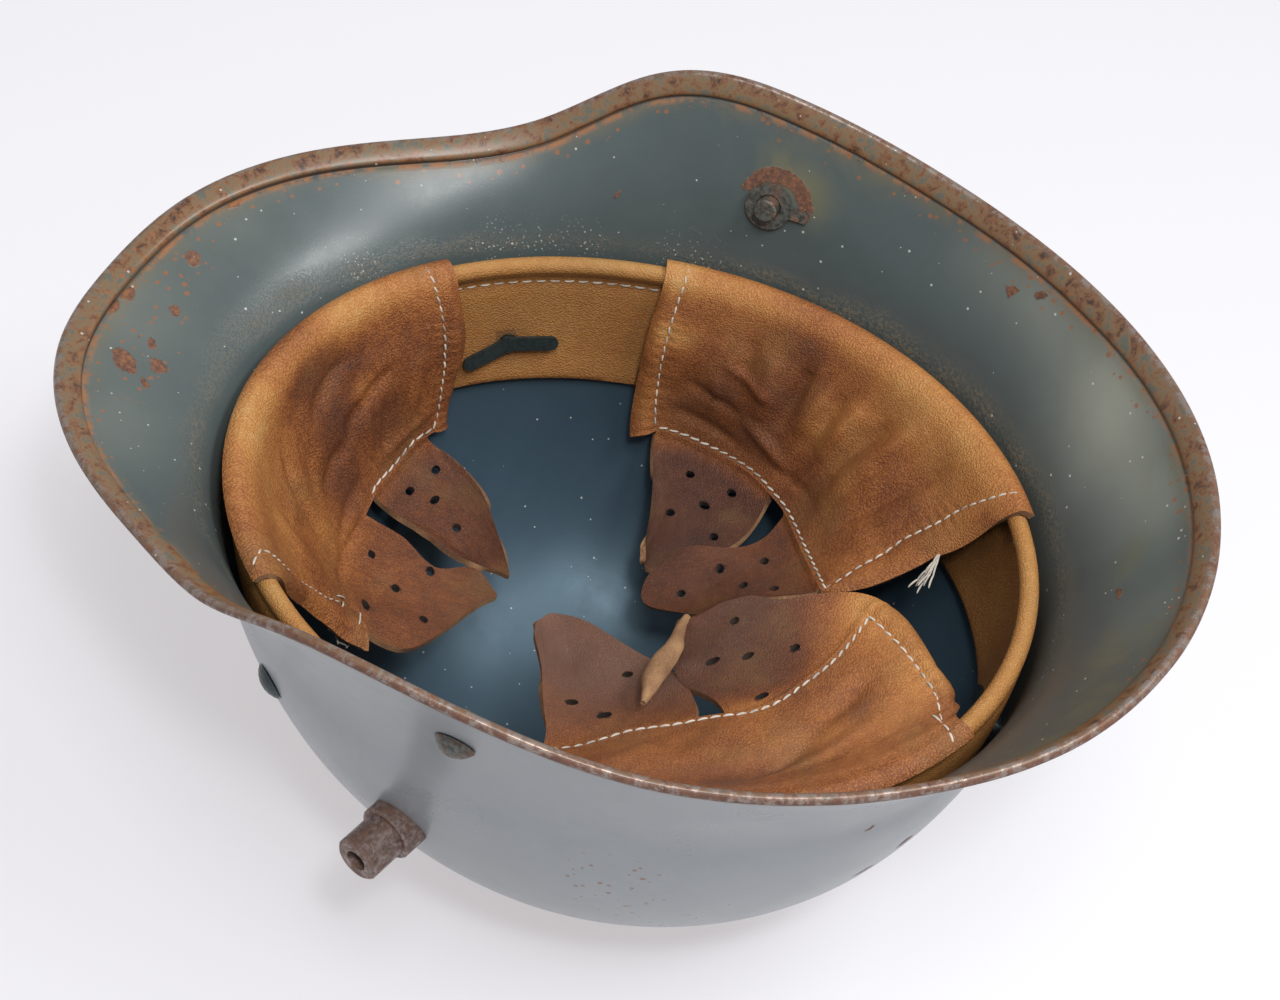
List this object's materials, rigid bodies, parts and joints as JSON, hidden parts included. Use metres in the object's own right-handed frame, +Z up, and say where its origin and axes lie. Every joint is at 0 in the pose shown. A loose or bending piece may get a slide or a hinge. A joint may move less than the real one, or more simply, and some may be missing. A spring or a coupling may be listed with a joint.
{
  "type": "steel helmet",
  "caption": "Flared steel helmet lying on its crown, with a rolled rim, hollow side lugs, chinstrap posts and a leather liner of padded flaps that swing out.",
  "frame": {"origin": "under the middle of the rim's outline, on the level that the crown rests on", "axes": "+Z up with the helmet lying on its crown, opening upwards; -Y towards the visor, +Y towards the neck guard, +X towards the wearer's right"},
  "size_m": [0.2402, 0.3028, 0.1699],
  "materials": {
    "shell": "worn matt paint over steel, rusting at the rim",
    "vent_lugs": "rusted paint",
    "chinstrap_posts": "rusted paint",
    "chinstrap_washers": "worn paint",
    "split_pins": "worn dark paint",
    "headband": "golden tan, smooth",
    "headband_piping": "light golden tan",
    "pad_front": "creased golden brown",
    "pad_left": "creased dark reddish brown",
    "pad_right": "creased tan with dark stains",
    "pockets": "plain woven cloth",
    "cushions": "cloth filled with horsehair"
  },
  "bodies": {
    "shell_and_band": {"shell": "shell", "vent_lug_left": "vent_lugs", "vent_lug_right": "vent_lugs", "chinstrap_post_left": "chinstrap_posts", "chinstrap_post_right": "chinstrap_posts", "chinstrap_washer_left": "chinstrap_washers", "chinstrap_washer_right": "chinstrap_washers", "headband": "headband", "headband_piping": "headband_piping", "split_pin_front_left": "split_pins", "split_pin_front_right": "split_pins", "split_pin_rear": "split_pins"},
    "front_flap": {"pad_front": "pad_front", "pocket_front": "pockets", "cushion_front_a": "cushions", "cushion_front_b": "cushions"},
    "left_flap": {"pad_left": "pad_left", "pocket_left": "pockets", "cushion_left_a": "cushions", "cushion_left_b": "cushions"},
    "right_flap": {"pad_right": "pad_right", "pocket_right": "pockets", "cushion_right_a": "cushions", "cushion_right_b": "cushions"}
  },
  "joints": [
    {"name": "front_flap_swing", "type": "hinge", "parent": "shell_and_band", "child": "front_flap", "pos_m": [0.00193, -0.10065, 0.11645], "axis": [0.9998, 0.0175, 0], "range_deg": [0, 100]},
    {"name": "left_flap_swing", "type": "hinge", "parent": "shell_and_band", "child": "left_flap", "pos_m": [-0.08794, 0.04365, 0.11639], "axis": [-0.3584, -0.9336, 0], "range_deg": [0, 50]},
    {"name": "right_flap_swing", "type": "hinge", "parent": "shell_and_band", "child": "right_flap", "pos_m": [0.08518, 0.05144, 0.11639], "axis": [-0.4384, 0.8988, 0], "range_deg": [0, 45]}
  ]
}
